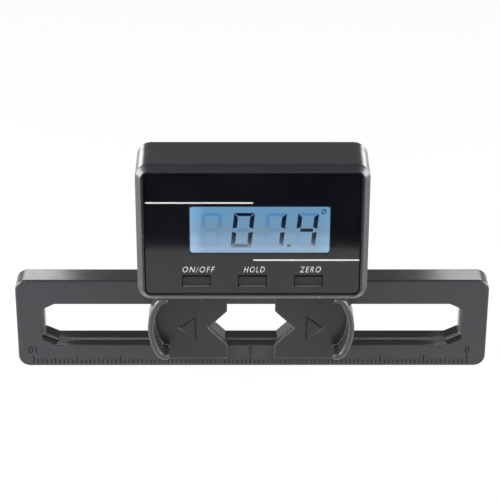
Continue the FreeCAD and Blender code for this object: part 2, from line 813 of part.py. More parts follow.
def many_sided(centre, along, radius, length):
    """A twelve-sided rod from a centre, which stands in for a wound wire."""
    turn = FreeCAD.Rotation(FreeCAD.Vector(0, 0, 1), along)
    corners = []
    for number in range(SPRING_SIDES + 1):
        angle = 2 * math.pi * (number % SPRING_SIDES + 0.5) / SPRING_SIDES
        spoke = FreeCAD.Vector(radius * math.cos(angle), radius * math.sin(angle), 0)
        corners.append(centre + turn.multVec(spoke))
    return Part.Face(Part.makePolygon(corners)).extrude(along.normalize() * length)


def make_spring(label, side):
    """A return spring between a peg of the bar and the peg of a jaw, with an eye at each end."""
    depth = value("(web_back + plate_front) / 2")
    level = value("spring_level")
    start = value("anchor_half")
    stop = abs(value(mirror("foot_outer - 1", side)))
    wire = value("spring_wire") / 2
    eye = value("anchor_radius") + value("run_gap") + wire
    coil = many_sided(FreeCAD.Vector(side * (start + eye), depth, level), FreeCAD.Vector(side, 0, 0),
                      value("spring_radius"), stop - start - 2 * eye)
    solids = [coil]
    for place in (start, stop):
        front = FreeCAD.Vector(side * place, depth - wire, level)
        ring = many_sided(front, FreeCAD.Vector(0, 1, 0), eye + wire, 2 * wire)
        solids.append(ring.cut(many_sided(front, FreeCAD.Vector(0, 1, 0), eye, 2 * wire)))
    spring = DOC.addObject("Part::Feature", label)
    spring.Label = label
    spring.Shape = solids[0].fuse(solids[1:])
    return spring


def make_display():
    """The window, the display glass in its carrier, its light and its contact strips."""
    lens = block("window_lens", "window_left + fit_gap", "window_right - fit_gap",
                 "panel_front", "panel_back", "window_bottom + fit_gap", "window_top - fit_gap")
    left, right = "window_left - glass_margin", "window_right + glass_margin"
    low, high = "window_bottom - glass_margin", "window_top + glass_margin"
    glass = block("lcd_glass", left, right, "glass_front", "glass_back", low, high)
    outer = block("carrier_outer", left + " - carrier_wall", right + " + carrier_wall", "web_rear + fit_gap",
                  "board_front", low + " - carrier_wall", high + " + carrier_wall")
    room = block("carrier_room", left + " - fit_gap", right + " + fit_gap", "web_rear", "board_front + 1",
                 low + " - fit_gap", high + " + fit_gap")
    carrier = subtract("lcd_carrier", outer, room)
    light = block("backlight", "window_left", "window_right", "glass_back + run_gap",
                  "board_front - run_gap", "window_bottom", "window_top")
    upper = block("strip_upper", "window_left", "window_right", "glass_back", "board_front",
                  high + " - strip_width", high + " - run_gap")
    lower = block("strip_lower", "window_left", "window_right", "glass_back", "board_front",
                  low + " + run_gap", low + " + strip_width")
    strips = combine("Compound", "contact_strips", [upper, lower])
    return [lens, glass, carrier, light, strips]


def make_board():
    """The circuit board, cut out for the screw bosses, with its two chips."""
    body = new_body("circuit_board")
    half = "wall_in - board_margin"
    extrude(body, lambda s: draw_box(
        s, "-(%s)" % half, half, "room_bottom + fit_gap", "room_top - board_margin / 2"
    ), "board_front", "board_back")
    near = "boss_half + slide_gap"
    for sign in ("-", ""):
        inner, outer = sign + "(boss_reach - (%s))" % near, sign + "(wall_in)"
        cut(body, lambda s: draw_box(s, inner, outer, "housing_bottom", "boss_low + " + near), "board_front",
            "board_back")
        cut(body, lambda s: draw_box(s, inner, outer, "boss_high - (%s)" % near, "room_top"), "board_front",
            "board_back")
    chip = block("controller_chip", "-chip_reach - chip_size / 2", "-chip_reach + chip_size / 2",
                 "board_back", "board_back + chip_depth",
                 "chip_level - chip_size / 2", "chip_level + chip_size / 2")
    sensor = block("tilt_sensor", "chip_reach - sensor_size / 2", "chip_reach + sensor_size / 2",
                   "board_back", "board_back + chip_depth", "chip_level - sensor_size / 2",
                   "chip_level + sensor_size / 2")
    return [body, chip, sensor]


def make_battery():
    """The coin cell and its two contacts, which reach through the tray to the board."""
    can = rod("cell_can", "0", "cell_level", "cell_front + contact_depth", "cell_back", "cell_radius")
    cap = rod("cell_cap", "0", "cell_level", "cell_front", "cell_back - contact_depth",
              "cell_radius - cell_cap_rim")
    cell = combine("MultiFuse", "coin_cell", [can, cap])
    pad = block("negative_pad", "-pad_half_wide", "pad_half_wide", "tray_back", "cell_front",
                "cell_level - pad_half_high", "cell_level + pad_half_high")
    leg = block("negative_leg", "-leg_half", "leg_half", "board_back", "cell_front",
                "cell_level - pad_half_high", "cell_level - pad_half_high + contact_depth")
    negative = combine("MultiFuse", "negative_contact", [pad, leg])
    positive = block("positive_contact", "-cell_radius - run_gap - contact_depth", "-cell_radius - run_gap",
                     "board_back", "cell_back - contact_depth", "cell_level - contact_half",
                     "cell_level + contact_half")
    return [cell, negative, positive]


NODES = [make_frame(), make_back_plate(), make_front_shell(), make_face_panel(), make_battery_door()]
NODES += [
    make_key("power_button", "-key_spacing"), make_key("hold_button", "0"),
    make_key("zero_button", "key_spacing"), make_switches(),
]
for prefix, way in (("left", -1), ("right", 1)):
    NODES += [
        make_thumb_plate(prefix + "_thumb_plate", way),
        make_jaw_block(prefix + "_jaw_block", way),
        make_screws(prefix + "_jaw_screw", jaw_screws(way), "bar_front + plate_rim", "block_back"),
        make_spring(prefix + "_spring", way),
    ]
NODES += [
    make_screws("housing_screws", housing_bosses(), "web_rear + 2 * front_web", "bar_back"),
    make_screws("back_plate_screws", plate_screws(), "bar_front + 2 * front_web", "bar_back"),
]
NODES += make_display() + make_board() + make_battery()

DOC.recompute()
for item in DOC.Objects:
    if "Invalid" in item.State or "Error" in item.State:
        raise RuntimeError(item.Name + " failed: " + ", ".join(item.State))
os.makedirs("parts", exist_ok=True)
for node in NODES:
    shape = node.Shape
    if shape.isNull() or not shape.isValid() or not shape.Solids:
        raise RuntimeError(node.Label + " has no valid solid")
    shape.exportStep("parts/" + node.Label + ".step")
    print("%-20s solids %d volume %9.2f" % (node.Label, len(shape.Solids), shape.Volume))
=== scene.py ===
"""Looks of the digital pitch gauge: finishes, scale, prints, display, light and the photo's view.

Metres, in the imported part's own frame: X right, Y to the back, Z up.
"""
import math
import bpy
from mathutils import Matrix, Vector


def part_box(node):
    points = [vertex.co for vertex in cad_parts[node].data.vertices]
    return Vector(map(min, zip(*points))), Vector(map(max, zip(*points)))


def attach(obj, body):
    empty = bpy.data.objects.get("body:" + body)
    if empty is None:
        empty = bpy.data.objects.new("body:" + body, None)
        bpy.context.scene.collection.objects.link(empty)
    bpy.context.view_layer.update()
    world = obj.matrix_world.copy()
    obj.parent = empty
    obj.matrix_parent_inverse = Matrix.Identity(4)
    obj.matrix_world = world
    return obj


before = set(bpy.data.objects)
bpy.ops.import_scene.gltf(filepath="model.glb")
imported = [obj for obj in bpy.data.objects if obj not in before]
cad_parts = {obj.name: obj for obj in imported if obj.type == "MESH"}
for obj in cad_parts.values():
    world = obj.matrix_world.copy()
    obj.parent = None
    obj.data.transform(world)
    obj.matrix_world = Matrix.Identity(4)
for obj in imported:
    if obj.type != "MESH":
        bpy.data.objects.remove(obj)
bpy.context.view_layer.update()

MM = 0.001
PHOTO_PIXELS = 500

# Camera, fitted to the bar's edges, the ruler and the housing in the photograph
FOCAL_PIXELS = 1998.7
CAMERA_PLACE = (-2.66 * MM, -395.36 * MM, 240.86 * MM)
CAMERA_TILT = math.radians(62.0)
CAMERA_TURN = -0.0054
CAMERA_ROLL = 0.0024
SENSOR_WIDTH = 36.0

# Levels of the bar, as in the part's own sizes
BAR_FRONT = 0.6 * MM
SLOT_HALF = 48.3 * MM
SLOT_TOP = 16.4 * MM
THUMB_FRONT = -0.2 * MM

# The engraved arrows: their depth, middle level and reach from the middle of the two
ARROW_FLOOR = THUMB_FRONT + 0.25 * MM
ARROW_LEVEL = 10.5 * MM
ARROW_HALF = 3.2 * MM
ARROW_MIDDLE = -0.25 * MM
ARROW_TAIL = 12.55 * MM
ARROW_TIP = 16.85 * MM
ARROW_LINE = 0.35 * MM

# Tones of single places on the bar and the jaws: painted shade on the slot's floors and the arrows' upper
# strokes, painted light on the slot's ledge and the arrows' lower strokes, and the slot's gloss
SLOT_FLOOR_PAINTED_SHADE = (0.003, 0.003, 0.004)
SLOT_LEDGE_PAINTED_LIGHT = (0.17, 0.17, 0.175)
SLOT_ROUGHNESS = 0.10
ARROW_PAINTED_SHADOW = (0.0015, 0.0015, 0.0015)
ARROW_PAINTED_LIGHT = (0.09, 0.09, 0.092)

# Thin inlays for prints, seams and painted shadows: their depth, the softness of their edges and half the
# letters' depth
INLAY_DEPTH = 0.02 * MM
INLAY_SOFTNESS = 0.004 * MM
LETTER_HALF_DEPTH = 0.012 * MM


# Modelling helpers

def clear_selection():
    if bpy.context.object and bpy.context.object.mode != "OBJECT":
        bpy.ops.object.mode_set(mode="OBJECT")
    bpy.ops.object.select_all(action="DESELECT")


def pick(piece):
    clear_selection()
    piece.select_set(True)
    bpy.context.view_layer.objects.active = piece


def settle(piece):
    """Put the piece's place into its mesh."""
    pick(piece)
    bpy.ops.object.transform_apply(location=True, rotation=True, scale=True)


def join(pieces, name):
    clear_selection()
    for piece in pieces:
        piece.select_set(True)
    bpy.context.view_layer.objects.active = pieces[0]
    if len(pieces) > 1:
        bpy.ops.object.join()
    whole = bpy.context.object
    whole.name = name
    settle(whole)
    return whole


def bevelled_slab(name, centre, size, round_by):
    """A thin slab with softened edges, made from a cube in edit mode."""
    clear_selection()
    bpy.ops.mesh.primitive_cube_add(size=1, location=centre)
    slab = bpy.context.object
    slab.name = name
    slab.scale = size
    settle(slab)
    bpy.ops.object.mode_set(mode="EDIT")
    bpy.ops.mesh.select_all(action="SELECT")
    bpy.ops.mesh.bevel(offset=round_by, segments=2, affect="EDGES")
    bpy.ops.object.mode_set(mode="OBJECT")
    return slab


def finish(piece, material, body):
    piece.data.materials.clear()
    piece.data.materials.append(material)
    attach(piece, body)
    return piece


# Material helpers

def new_material(name):
    material = bpy.data.materials.new(name)
    material.use_nodes = True
    shader = material.node_tree.nodes["Principled BSDF"]
    return material, material.node_tree, shader


def noise(tree, scale, detail=3.0, stretch=(1, 1, 1)):
    """Noise over the object's own coordinates, in metres."""
    place = tree.nodes.new("ShaderNodeTexCoord")
    mapping = tree.nodes.new("ShaderNodeMapping")
    mapping.inputs["Scale"].default_value = stretch
    texture = tree.nodes.new("ShaderNodeTexNoise")
    texture.inputs["Scale"].default_value = scale
    texture.inputs["Detail"].default_value = detail
    tree.links.new(place.outputs["Object"], mapping.inputs["Vector"])
    tree.links.new(mapping.outputs["Vector"], texture.inputs["Vector"])
    return texture.outputs["Fac"]


def spread(tree, source, low, high, start=0.3, end=0.7):
    """Map a 0 to 1 value to a range."""
    node = tree.nodes.new("ShaderNodeMapRange")
    node.inputs["From Min"].default_value = start
    node.inputs["From Max"].default_value = end
    node.inputs["To Min"].default_value = low
    node.inputs["To Max"].default_value = high
    tree.links.new(source, node.inputs["Value"])
    return node.outputs["Result"]


def combine(tree, first, second, operation="ADD"):
    """A sum or another operation on two values."""
    node = tree.nodes.new("ShaderNodeMath")
    node.operation = operation
    for socket, source in zip(node.inputs, (first, second)):
        if isinstance(source, float):
            socket.default_value = source
        else:
            tree.links.new(source, socket)
    return node.outputs["Value"]


def two_tones(tree, source, dark, light):
    ramp = tree.nodes.new("ShaderNodeValToRGB")
    ramp.color_ramp.elements[0].position = 0.35
    ramp.color_ramp.elements[0].color = (*dark, 1)
    ramp.color_ramp.elements[1].position = 0.65
    ramp.color_ramp.elements[1].color = (*light, 1)
    tree.links.new(source, ramp.inputs["Fac"])
    return ramp.outputs["Color"]


def bump(tree, shader, source, strength, depth, edge=0.0):
    """Fine relief, over edges that look rounded by a radius."""
    node = tree.nodes.new("ShaderNodeBump")
    if edge:
        rounded = tree.nodes.new("ShaderNodeBevel")
        rounded.samples = 6
        rounded.inputs["Radius"].default_value = edge
        tree.links.new(rounded.outputs["Normal"], node.inputs["Normal"])
    node.inputs["Strength"].default_value = strength
    node.inputs["Distance"].default_value = depth
    tree.links.new(source, node.inputs["Height"])
    tree.links.new(node.outputs["Normal"], shader.inputs["Normal"])


def axes(tree, kind):
    """The X, Y and Z of a texture coordinate, such as Object or Normal."""
    place = tree.nodes.new("ShaderNodeTexCoord")
    split = tree.nodes.new("ShaderNodeSeparateXYZ")
    tree.links.new(place.outputs[kind], split.inputs["Vector"])
    return split.outputs["X"], split.outputs["Y"], split.outputs["Z"]


def change_where(tree, shader, socket, mask, new_value):
    """Blend a socket's linked value to a new one where the mask is 1."""
    old = shader.inputs[socket].links[0].from_socket
    mix = tree.nodes.new("ShaderNodeMix")
    tree.links.new(mask, mix.inputs["Factor"])
    if isinstance(new_value, tuple):
        # sockets 6 and 7 are the two colours going in, and 2 the one coming out
        mix.data_type = "RGBA"
        tree.links.new(old, mix.inputs[6])
        mix.inputs[7].default_value = (*new_value, 1)
        tree.links.new(mix.outputs[2], shader.inputs[socket])
    else:
        tree.links.new(old, mix.inputs["A"])
        mix.inputs["B"].default_value = new_value
        tree.links.new(mix.outputs["Result"], shader.inputs[socket])


def moulded_plastic(name, dark, light, roughness, edge=0.0, specular=0.5, grain_depth=0.000006):
    """Moulded plastic: fine spark-eroded grain, slightly uneven tone and gloss."""
    material, tree, shader = new_material(name)
    tree.links.new(two_tones(tree, noise(tree, 260.0), dark, light), shader.inputs["Base Color"])
    gloss = spread(tree, noise(tree, 420.0), roughness - 0.015, roughness + 0.015)
    tree.links.new(gloss, shader.inputs["Roughness"])
    shader.inputs["Specular IOR Level"].default_value = specular
    bump(tree, shader, noise(tree, 7000.0, 1.0), 0.15, grain_depth, edge)
    return material


def bar_plastic(name, dark, light, roughness, edge):
    """The bar's plastic, glossier in the slot, with painted shade on the floors inside it and painted light
    on the front-facing ledge inside it.
    """
    material = moulded_plastic(name, dark, light, roughness, edge)
    tree = material.node_tree
    shader = tree.nodes["Principled BSDF"]
    across, deep, up = axes(tree, "Object")
    facing = axes(tree, "Normal")
    soft = 0.3 * MM
    from_middle = combine(tree, across, 0.0, "ABSOLUTE")
    below = spread(tree, up, 1.0, 0.0, SLOT_TOP, SLOT_TOP + soft)
    behind = spread(tree, deep, 0.0, 1.0, BAR_FRONT + 0.1 * MM, BAR_FRONT + soft)
    along = spread(tree, from_middle, 1.0, 0.0, SLOT_HALF, SLOT_HALF + soft)
    inside = combine(tree, combine(tree, below, behind, "MULTIPLY"), along, "MULTIPLY")
    painted_shade_floors = combine(tree, inside, spread(tree, facing[2], 0.0, 1.0, 0.3, 0.6), "MULTIPLY")
    painted_light_ledge = combine(tree, inside, spread(tree, facing[1], 1.0, 0.0, -0.9, -0.5), "MULTIPLY")
    # painted shade: the upward-facing floors inside the slot are darkened
    change_where(tree, shader, "Base Color", painted_shade_floors, SLOT_FLOOR_PAINTED_SHADE)
    # painted light: the front-facing faces inside the slot are made pale
    change_where(tree, shader, "Base Color", painted_light_ledge, SLOT_LEDGE_PAINTED_LIGHT)
    change_where(tree, shader, "Roughness", inside, SLOT_ROUGHNESS)
    return material


def shell_plastic(name, dark, light, side_painted_light, low_painted_light, roughness, edge):
    """The housing's plastic, with painted light on the bevels at its sides and stronger painted light on the
    one at its bottom.
    """
    material = moulded_plastic(name, dark, light, roughness, edge)
    tree = material.node_tree
    shader = tree.nodes["Principled BSDF"]
    _, deep, up = axes(tree, "Normal")
    forward = spread(tree, deep, 1.0, 0.0, -0.55, -0.25)
    not_flat = spread(tree, deep, 0.0, 1.0, -0.97, -0.85)
    bevel = combine(tree, forward, not_flat, "MULTIPLY")
    level = spread(tree, combine(tree, up, 0.0, "ABSOLUTE"), 1.0, 0.0, 0.05, 0.45)
    # painted light on the bevels at the housing's sides
    change_where(tree, shader, "Base Color", combine(tree, bevel, level, "MULTIPLY"), side_painted_light)
    downward = spread(tree, up, 1.0, 0.0, -0.6, -0.2)
    # stronger painted light on the bevel at the housing's bottom
    change_where(tree, shader, "Base Color", combine(tree, bevel, downward, "MULTIPLY"), low_painted_light)
    return material


def edge_mask(tree, radius):
    """1 along the edges of a shape, to about a radius from them, and 0 on its faces."""
    rounded = tree.nodes.new("ShaderNodeBevel")
    rounded.samples = 8
    rounded.inputs["Radius"].default_value = radius
    shape = tree.nodes.new("ShaderNodeNewGeometry")
    agreement = tree.nodes.new("ShaderNodeVectorMath")
    agreement.operation = "DOT_PRODUCT"
    tree.links.new(rounded.outputs["Normal"], agreement.inputs[0])
    tree.links.new(shape.outputs["True Normal"], agreement.inputs[1])
    return spread(tree, agreement.outputs["Value"], 1.0, 0.0, 0.90, 0.99)


def between(tree, source, low, high, soft):
    """1 where a value lies between two limits, with soft ends."""
    return combine(
        tree, spread(tree, source, 0.0, 1.0, low - soft, low + soft),
        spread(tree, source, 1.0, 0.0, high - soft, high + soft), "MULTIPLY"
    )


def thumb_plastic(name, dark, light, proud_painted_light, edge_painted_highlight, roughness, edge):
    """The jaws' plastic, with painted highlights along its edges and painted light on its raised parts. An
    arrow's upper stroke has painted shadow and its lower one painted light.
    """
    material = moulded_plastic(name, dark, light, roughness, edge, 0.42)
    tree = material.node_tree
    shader = tree.nodes["Principled BSDF"]
    across, deep, up = axes(tree, "Object")
    offset = combine(tree, combine(tree, across, -ARROW_MIDDLE), 0.0, "ABSOLUTE")
    proud = spread(tree, deep, 1.0, 0.0, THUMB_FRONT - 1.2 * MM, THUMB_FRONT - 0.3 * MM)
    # painted light: the raised crescents are made paler than the plate
    change_where(tree, shader, "Base Color", proud, proud_painted_light)
    soft = 0.02 * MM
    arrow = combine(
        tree, between(tree, offset, ARROW_TAIL - ARROW_LINE, ARROW_TIP + ARROW_LINE, soft),
        between(tree, up, ARROW_LEVEL - ARROW_HALF - ARROW_LINE, ARROW_LEVEL + ARROW_HALF + ARROW_LINE, soft),
        "MULTIPLY"
    )
    elsewhere = combine(tree, 1.0, arrow, "SUBTRACT")
    painted_highlight_edges = combine(tree, edge_mask(tree, edge * 0.6), elsewhere, "MULTIPLY")
    # painted highlight: pale lines along the edges, away from the arrows
    change_where(tree, shader, "Base Color", painted_highlight_edges, edge_painted_highlight)
    on_floor = between(tree, deep, ARROW_FLOOR - 0.2 * MM, ARROW_FLOOR + 0.05 * MM, soft)
    groove = combine(tree, on_floor, arrow, "MULTIPLY")
    past_tail = spread(tree, offset, 0.0, 1.0, ARROW_TAIL + ARROW_LINE, ARROW_TAIL + 1.5 * ARROW_LINE)
    strokes = combine(tree, groove, past_tail, "MULTIPLY")
    upper = spread(tree, up, 0.0, 1.0, ARROW_LEVEL - soft, ARROW_LEVEL + soft)
    lower = combine(tree, 1.0, upper, "SUBTRACT")
    # painted shadow on the arrows' upper strokes, as the groove's upper rim would cast
    change_where(tree, shader, "Base Color", combine(tree, strokes, upper, "MULTIPLY"), ARROW_PAINTED_SHADOW)
    # painted light on the arrows' lower strokes
    change_where(tree, shader, "Base Color", combine(tree, strokes, lower, "MULTIPLY"), ARROW_PAINTED_LIGHT)
    return material


def worn_metal(name, dark, light, roughness, brushed=(1, 1, 1)):
    material, tree, shader = new_material(name)
    shader.inputs["Metallic"].default_value = 1.0
    tone = two_tones(tree, noise(tree, 700.0, stretch=brushed), dark, light)
    tree.links.new(tone, shader.inputs["Base Color"])
    tree.links.new(
        spread(tree, noise(tree, 2500.0, stretch=brushed), roughness - 0.08, roughness + 0.08),
        shader.inputs["Roughness"],
    )
    bump(tree, shader, noise(tree, 4000.0, 2.0, brushed), 0.15, 0.000005)
    return material


def glossy_panel():
    """Black gloss plastic, with a faint unevenness in its polish."""
    material, tree, shader = new_material("panel_gloss_black")
    tree.links.new(
        two_tones(tree, noise(tree, 90.0), (0.0030, 0.0033, 0.0046), (0.0046, 0.0050, 0.0068)),
        shader.inputs["Base Color"],
    )
    tree.links.new(spread(tree, noise(tree, 300.0), 0.07, 0.11), shader.inputs["Roughness"])
    shader.inputs["Specular IOR Level"].default_value = 0.6
    bump(tree, shader, noise(tree, 60.0, 1.0), 0.05, 0.00002, 0.12 * MM)
    return material


def clear_window():
    material, tree, shader = new_material("window_clear")
    shader.inputs["Base Color"].default_value = (1, 1, 1, 1)
    shader.inputs["Transmission Weight"].default_value = 1.0
    shader.inputs["IOR"].default_value = 1.42
    tree.links.new(spread(tree, noise(tree, 250.0), 0.0, 0.02), shader.inputs["Roughness"])
    return material


def colour_ramp(tree, source, stops):
    """A colour for each place between 0 and 1, from pairs of place and colour."""
    ramp = tree.nodes.new("ShaderNodeValToRGB")
    points = ramp.color_ramp.elements
    for number, (place, colour) in enumerate(stops):
        point = points[number] if number < 2 else points.new(place)
        point.position = place
        point.color = (*colour, 1)
    tree.links.new(source, ramp.inputs["Fac"])
    return ramp.outputs["Color"]


def lit_glass(name, stops, glow):
    """A lit layer of the display: a colour for each height, brighter toward the window's two sides."""
    material, tree, shader = new_material(name)
    across, _, up = axes(tree, "Object")
    low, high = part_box("window_lens")
    rise = spread(tree, up, 0.0, 1.0, low[2], high[2])
    wave = spread(tree, noise(tree, 120.0), -0.04, 0.04)
    shader.inputs["Base Color"].default_value = (0.002, 0.003, 0.005, 1)
    shader.inputs["Specular IOR Level"].default_value = 0.05
    tree.links.new(colour_ramp(tree, combine(tree, rise, wave), stops), shader.inputs["Emission Color"])
    near_left = spread(tree, across, glow, 0.0, low[0], low[0] + 3.2 * MM)
    near_right = spread(tree, across, 0.0, glow * 0.4, high[0] - 2.6 * MM, high[0])
    strength = combine(tree, combine(tree, near_left, near_right), 1.0)
    tree.links.new(strength, shader.inputs["Emission Strength"])
    shader.inputs["Roughness"].default_value = 0.6
    return material


def plain_ink(name, dark, light, roughness, specular=0.5):
    material, tree, shader = new_material(name)
    shader.inputs["Specular IOR Level"].default_value = specular
    tree.links.new(two_tones(tree, noise(tree, 900.0), dark, light), shader.inputs["Base Color"])
    gloss = spread(tree, noise(tree, 1500.0), roughness - 0.05, roughness + 0.05)
    tree.links.new(gloss, shader.inputs["Roughness"])
    return material


def solder_mask():
    """Green board lacquer with lighter tracks."""
    material, tree, shader = new_material("board_lacquer")
    place = tree.nodes.new("ShaderNodeTexCoord")
    brick = tree.nodes.new("ShaderNodeTexBrick")
    brick.inputs["Scale"].default_value = 900.0
    brick.inputs["Color1"].default_value = (0.006, 0.05, 0.02, 1)
    brick.inputs["Color2"].default_value = (0.008, 0.06, 0.025, 1)
    brick.inputs["Mortar"].default_value = (0.02, 0.11, 0.05, 1)
    brick.inputs["Mortar Size"].default_value = 0.03
    turn = tree.nodes.new("ShaderNodeMapping")
    turn.inputs["Rotation"].default_value = (math.radians(90), 0, 0)
    tree.links.new(place.outputs["Object"], turn.inputs["Vector"])
    tree.links.new(turn.outputs["Vector"], brick.inputs["Vector"])
    tree.links.new(brick.outputs["Color"], shader.inputs["Base Color"])
    tree.links.new(spread(tree, noise(tree, 500.0), 0.25, 0.35), shader.inputs["Roughness"])
    return material


# Colours of the display from its bottom to its top: the lit ground, its unlit figures and the dark figures
GROUND_STOPS = [
    (0.0, (0.265, 0.415, 0.58)), (1.0, (0.135, 0.32, 0.53)), (0.30, (0.245, 0.385, 0.545)),
    (0.45, (0.185, 0.31, 0.445)), (0.75, (0.150, 0.325, 0.515)),
]
GHOST_STOPS = [
    (0.0, (0.25, 0.395, 0.57)), (1.0, (0.085, 0.25, 0.51)), (0.30, (0.225, 0.365, 0.545)),
    (0.45, (0.150, 0.275, 0.435)), (0.75, (0.092, 0.255, 0.51)),
]
FIGURE_STOPS = [
    (0.0, (0.15, 0.18, 0.23)), (1.0, (0.001, 0.006, 0.026)), (0.14, (0.14, 0.17, 0.22)),
    (0.24, (0.055, 0.067, 0.090)), (0.34, (0.025, 0.035, 0.055)), (0.60, (0.008, 0.015, 0.032)),
]

# Finishes
MATERIALS = {
    "bar": bar_plastic(
        "bar_satin_black", (0.0228, 0.0228, 0.0268), (0.0240, 0.0240, 0.0280), 0.26, 0.45 * MM
    ),
    # the housing's two paler tones are painted light on its side bevels and its bottom bevel
    "shell": shell_plastic(
        "shell_satin_black", (0.0228, 0.0228, 0.0268), (0.0240, 0.0240, 0.0280), (0.042, 0.042, 0.045),
        (0.150, 0.150, 0.155), 0.26, 0.3 * MM
    ),
    "body": moulded_plastic(
        "body_satin_black", (0.0240, 0.0240, 0.0280), (0.0252, 0.0252, 0.0292), 0.26, 0.3 * MM
    ),
    # the jaws' two paler tones are painted light on the raised crescents and painted highlights along the
    # edges
    "thumb": thumb_plastic(
        "jaw_satin_black", (0.0163, 0.0163, 0.0175), (0.0175, 0.0175, 0.0187), (0.036, 0.036, 0.037),
        (0.20, 0.20, 0.205), 0.26, 0.3 * MM
    ),
    "block": moulded_plastic(
        "jaw_block_grey", (0.034, 0.034, 0.036), (0.062, 0.062, 0.064), 0.34, 0.15 * MM, 0.42, 0.00003
    ),
    "key": moulded_plastic(
        "key_satin_black", (0.0135, 0.0135, 0.0140), (0.0160, 0.0160, 0.0165), 0.30, 0.12 * MM, 0.40
    ),
    "panel": glossy_panel(),
    "window": clear_window(),
    "display": lit_glass("display_ground", GROUND_STOPS, 0.45),
    "ghost": lit_glass("display_unlit", GHOST_STOPS, 0.3),
    "figure": lit_glass("display_dark", FIGURE_STOPS, 0.0),
    "milky": moulded_plastic("diffuser_milky", (0.75, 0.78, 0.80), (0.82, 0.85, 0.88), 0.5),
    "white": moulded_plastic("carrier_white", (0.60, 0.60, 0.57), (0.68, 0.68, 0.65), 0.5),
    "board": solder_mask(),
    "chip": moulded_plastic("chip_package", (0.010, 0.010, 0.011), (0.016, 0.016, 0.017), 0.6),
    "silicone": moulded_plastic("strip_silicone", (0.16, 0.16, 0.17), (0.22, 0.22, 0.23), 0.7),
    "spring": worn_metal("spring_steel", (0.42, 0.42, 0.43), (0.56, 0.56, 0.57), 0.3),
    "contact": worn_metal("contact_plated", (0.58, 0.57, 0.54), (0.70, 0.69, 0.66), 0.25),
    "screw": worn_metal("screw_black_oxide", (0.020, 0.020, 0.022), (0.040, 0.040, 0.044), 0.38),
    "cell": worn_metal("cell_can", (0.60, 0.60, 0.59), (0.74, 0.74, 0.73), 0.22, (1, 1, 6)),
    "print": plain_ink("print_pale", (0.48, 0.47, 0.46), (0.56, 0.55, 0.54), 0.5),
    "rim": plain_ink("key_rim_painted_highlight", (0.115, 0.115, 0.118), (0.135, 0.135, 0.138), 0.4),
    "scale": plain_ink("scale_engraved", (0.005, 0.005, 0.006), (0.008, 0.008, 0.009), 0.6, 0.10),
    "seam": plain_ink("seam_shadow", (0.003, 0.003, 0.003), (0.005, 0.005, 0.005), 0.7, 0.1),
}

NODE_FINISH = {
    "frame": "bar", "bar_back_plate": "body", "front_shell": "shell", "battery_door": "body",
    "face_panel": "panel", "window_lens": "window", "lcd_glass": "display", "lcd_carrier": "white",
    "backlight": "milky", "contact_strips": "silicone", "power_button": "key", "hold_button": "key",
    "zero_button": "key", "key_switches": "contact", "circuit_board": "board", "controller_chip": "chip",
    "tilt_sensor": "chip", "coin_cell": "cell", "negative_contact": "contact", "positive_contact": "contact",
    "housing_screws": "screw", "back_plate_screws": "screw", "left_jaw_screw": "screw",
    "right_jaw_screw": "screw", "left_thumb_plate": "thumb", "right_thumb_plate": "thumb",
    "left_jaw_block": "block", "right_jaw_block": "block", "left_spring": "spring", "right_spring": "spring",
}
for node_name, finish_name in NODE_FINISH.items():
    node_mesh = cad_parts[node_name].data
    node_mesh.materials.clear()
    node_mesh.materials.append(MATERIALS[finish_name])


# Ruler along the bar's bottom edge

RULER_SHIFT = -0.37 * MM
TICK_WIDTH = 0.22 * MM
TICK_BOTTOM = 0.75 * MM
NUMERAL_SIZE = 2.45 * MM
NUMERAL_LEVEL = 4.4 * MM


def make_ruler():
    """Millimetre ticks, longer at each half and whole centimetre, as thin inlays on the bar's face."""
    ticks = []
    for step in range(101):
        height = (2.1 if step % 10 == 0 else 1.25 if step % 5 == 0 else 1.0) * MM
        across = (step - 50) * MM + RULER_SHIFT
        centre = (across, BAR_FRONT, TICK_BOTTOM + height / 2)
        ticks.append(bevelled_slab("tick", centre, (TICK_WIDTH, INLAY_DEPTH, height), INLAY_SOFTNESS))
    return join(ticks, "ruler_ticks")


def raised_text(name, words, size, place, turned=False, slant=0.0, spacing=1.0, widen=1.0, thin=0.0):
    """Flat lettering facing the front, made a mesh and set at its place."""
    clear_selection()
    bpy.ops.object.text_add(location=(0, 0, 0))
    lettering = bpy.context.object
    lettering.name = name
    lettering.data.body = words
    lettering.data.size = size
    lettering.data.align_x = "CENTER"
    lettering.data.align_y = "CENTER"
    lettering.data.shear = slant
    lettering.data.extrude = LETTER_HALF_DEPTH
    lettering.data.space_character = spacing
    lettering.data.offset = -thin
    lettering.data.resolution_u = 4
    bpy.ops.object.convert(target="MESH")
    lettering = bpy.context.object
    lettering.scale = (widen, 1, 1)
    lettering.rotation_euler = (math.radians(90), math.radians(180) if turned else 0, 0)
    lettering.location = place
    settle(lettering)
    return lettering


def make_numerals():
    """The ruler's centimetre numerals, upside down as seen from the front."""
    marks = []
    for words, centimetre in (("0", 0), ("5", 5), ("10", 10)):
        across = (50 - centimetre * 10) * MM + RULER_SHIFT
        place = (across, BAR_FRONT, NUMERAL_LEVEL)
        marks.append(raised_text("numeral", words, NUMERAL_SIZE, place, turned=True))
    return join(marks, "ruler_numerals")


finish(make_ruler(), MATERIALS["scale"], "gauge")
finish(make_numerals(), MATERIALS["scale"], "gauge")


# Prints on the face panel

panel_low, panel_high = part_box("face_panel")
PRINT_FRONT = panel_low[1] - 0.005 * MM
SEAM_FRONT = panel_low[1] - 0.012 * MM
LINE_THICKNESS = 0.38 * MM
LABEL_SIZE = 2.1 * MM
LABEL_RISE = 0.78 * MM
LABEL_SHIFT = 0.3 * MM
LABEL_SLANT = 0.28
LABEL_SPACING = 1.30
LABEL_THINNING = 0.012 * MM
KEYS = ("power_button", "hold_button", "zero_button")


